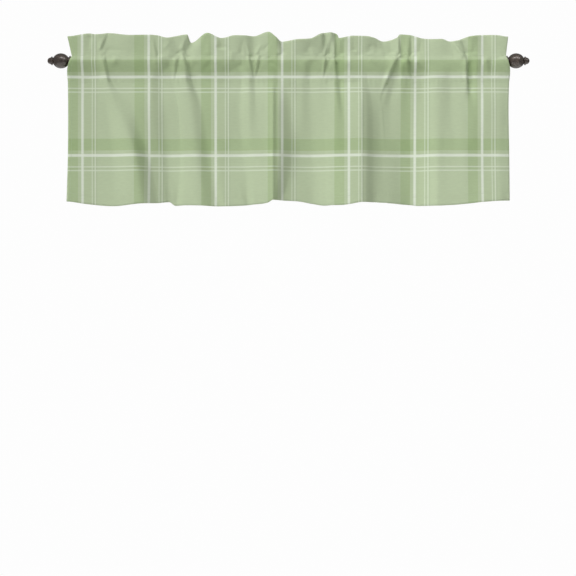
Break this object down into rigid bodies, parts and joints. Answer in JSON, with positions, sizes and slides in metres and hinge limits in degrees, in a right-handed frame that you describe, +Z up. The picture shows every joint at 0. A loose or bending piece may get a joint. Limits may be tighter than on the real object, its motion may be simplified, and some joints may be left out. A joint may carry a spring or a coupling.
{
  "type": "window valance on curtain rod",
  "caption": "Rod-pocket window valance of plaid cloth, gathered on a round steel curtain rod that ends in ball finials.",
  "frame": {"origin": "on the axis of the curtain rod, half way along it", "axes": "+X along the rod to the viewer's right, +Y from the room towards the wall, +Z up"},
  "size_m": [1.3228, 0.0567, 0.476],
  "materials": {
    "plaid_cloth": "woven polyester, matte, printed with a green and white plaid",
    "bronze_paint": "dark bronze paint, satin"
  },
  "bodies": {
    "root": {"valance_cloth": "plaid_cloth", "rod": "bronze_paint", "finial_left": "bronze_paint", "finial_right": "bronze_paint"}
  },
  "joints": []
}
